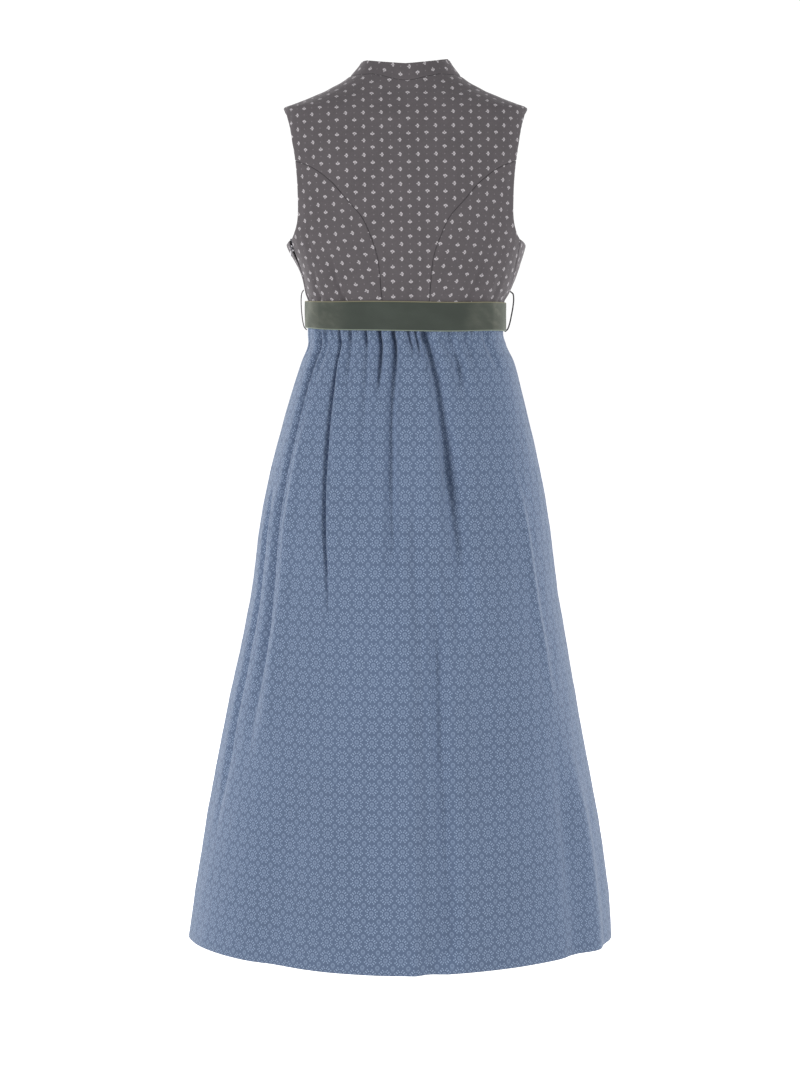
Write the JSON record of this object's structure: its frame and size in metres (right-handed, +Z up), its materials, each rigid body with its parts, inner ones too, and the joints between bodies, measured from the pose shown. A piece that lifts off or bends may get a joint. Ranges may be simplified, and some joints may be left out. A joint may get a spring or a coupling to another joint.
{
  "type": "maternity dirndl",
  "caption": "Sleeveless high-waisted maternity dirndl with a stand collar, fitted bodice with a side zip, velvet ribbon belt and long gathered skirt, hollow as worn.",
  "frame": {"origin": "midway between the neck ends of the shoulder seams, where the wearer's shoulders hold the dress", "axes": "+Z up, the front faces -Y, the back faces +Y, and the wearer's left side, with the zip, is +X"},
  "size_m": [0.57, 0.497, 1.1693],
  "materials": {
    "bodice_cotton": "matt printed cotton, warm grey with a small pale sprig",
    "skirt_cotton": "matt printed cotton, grey-blue with a tone-on-tone rosette trellis",
    "belt_velvet": "dark green velvet ribbon with woven edges",
    "loop_thread": "twisted grey sewing thread",
    "zip_tape": "dark woven polyester tape with a nylon coil",
    "zip_metal": "dark nickel, satin",
    "buttons": "dark horn-like, satin"
  },
  "bodies": {
    "dress": {"bodice_centre_back": "bodice_cotton", "bodice_side_back_left": "bodice_cotton", "bodice_side_back_right": "bodice_cotton", "bodice_centre_front_left": "bodice_cotton", "bodice_centre_front_right": "bodice_cotton", "bodice_side_front_left": "bodice_cotton", "bodice_side_front_right": "bodice_cotton", "collar": "bodice_cotton", "neck_placket": "bodice_cotton", "button_1": "buttons", "button_2": "buttons", "button_3": "buttons", "skirt_back": "skirt_cotton", "skirt_front": "skirt_cotton", "belt": "belt_velvet", "belt_loop_left": "loop_thread", "belt_loop_right": "loop_thread", "zip_tape": "zip_tape", "zip_slider": "zip_metal"},
    "zip_pull": {"zip_pull": "zip_metal"}
  },
  "joints": [
    {"name": "zip_pull_swing", "type": "hinge", "parent": "dress", "child": "zip_pull", "pos_m": [0.15033, 0.02595, -0.22537], "axis": [0.3329, -0.943, 0], "range_deg": [-15, 120]}
  ]
}
